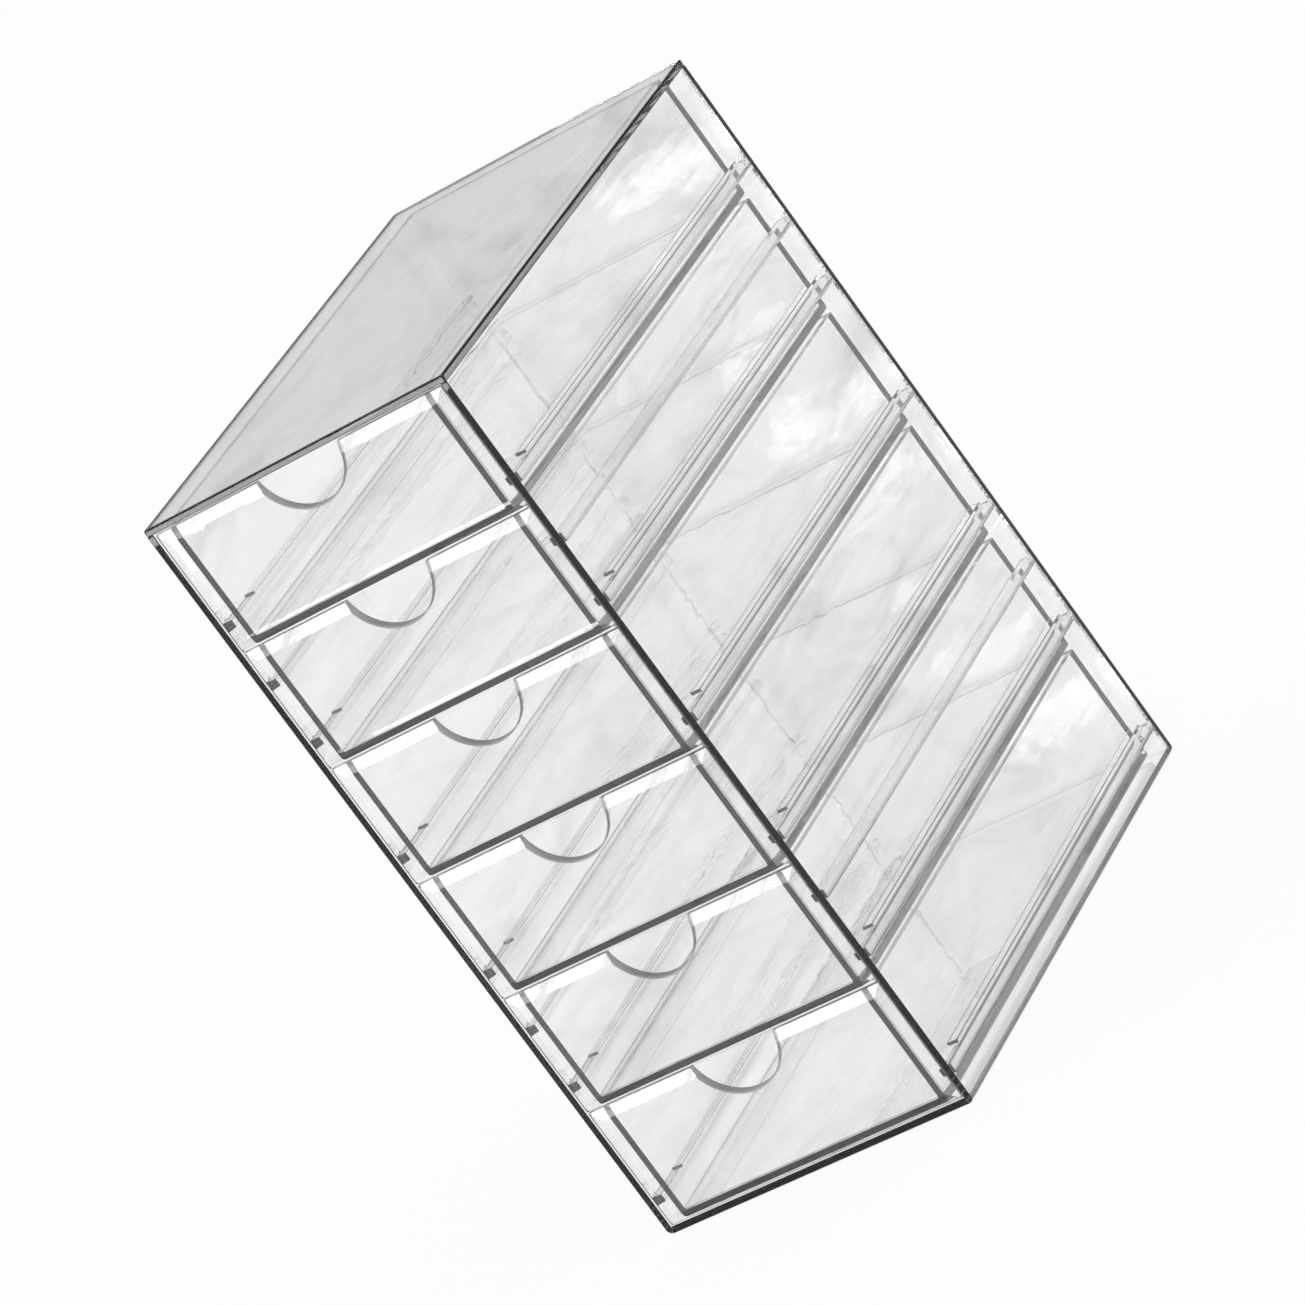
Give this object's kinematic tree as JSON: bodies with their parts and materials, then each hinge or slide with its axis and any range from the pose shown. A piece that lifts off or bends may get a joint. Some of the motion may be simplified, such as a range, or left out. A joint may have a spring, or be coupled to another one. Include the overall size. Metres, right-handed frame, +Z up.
{
  "type": "desktop drawer organizer",
  "caption": "Tall narrow clear plastic desktop organizer box with a column of shallow drawers that slide out on side rails, each pulled by a half-round finger notch.",
  "frame": {"origin": "middle of the footprint, on the surface that the cabinet stands on", "axes": "+Z up along the height, +Y from the drawer fronts to the back, +X to the right seen from the front"},
  "size_m": [0.11, 0.1848, 0.248],
  "materials": {
    "clear_cabinet": "clear moulded polystyrene, glossy, faint flow ripples",
    "clear_rail": "clear moulded polystyrene, glossy",
    "clear_front": "clear moulded polystyrene, glossy, bevelled border",
    "clear_tray": "clear moulded polystyrene, glossy, faint flow ripples"
  },
  "bodies": {
    "cabinet": {"top_panel": "clear_cabinet", "base_panel": "clear_cabinet", "left_side_panel": "clear_cabinet", "right_side_panel": "clear_cabinet", "back_panel": "clear_cabinet", "left_rail_1": "clear_rail", "left_rail_2": "clear_rail", "left_rail_3": "clear_rail", "left_rail_4": "clear_rail", "left_rail_5": "clear_rail", "left_rail_6": "clear_rail", "left_rail_7": "clear_rail", "left_rail_8": "clear_rail", "right_rail_1": "clear_rail", "right_rail_2": "clear_rail", "right_rail_3": "clear_rail", "right_rail_4": "clear_rail", "right_rail_5": "clear_rail", "right_rail_6": "clear_rail", "right_rail_7": "clear_rail", "right_rail_8": "clear_rail"},
    "drawer_1": {"drawer_1_front": "clear_front", "drawer_1_tray": "clear_tray"},
    "drawer_2": {"drawer_2_front": "clear_front", "drawer_2_tray": "clear_tray"},
    "drawer_3": {"drawer_3_front": "clear_front", "drawer_3_tray": "clear_tray"},
    "drawer_4": {"drawer_4_front": "clear_front", "drawer_4_tray": "clear_tray"},
    "drawer_5": {"drawer_5_front": "clear_front", "drawer_5_tray": "clear_tray"},
    "drawer_6": {"drawer_6_front": "clear_front", "drawer_6_tray": "clear_tray"}
  },
  "joints": [
    {"name": "drawer_1_slide", "type": "slide", "parent": "cabinet", "child": "drawer_1", "axis": [0, -1, 0], "range_m": [0, 0.14]},
    {"name": "drawer_2_slide", "type": "slide", "parent": "cabinet", "child": "drawer_2", "axis": [0, -1, 0], "range_m": [0, 0.14]},
    {"name": "drawer_3_slide", "type": "slide", "parent": "cabinet", "child": "drawer_3", "axis": [0, -1, 0], "range_m": [0, 0.14]},
    {"name": "drawer_4_slide", "type": "slide", "parent": "cabinet", "child": "drawer_4", "axis": [0, -1, 0], "range_m": [0, 0.14]},
    {"name": "drawer_5_slide", "type": "slide", "parent": "cabinet", "child": "drawer_5", "axis": [0, -1, 0], "range_m": [0, 0.14]},
    {"name": "drawer_6_slide", "type": "slide", "parent": "cabinet", "child": "drawer_6", "axis": [0, -1, 0], "range_m": [0, 0.14]}
  ]
}
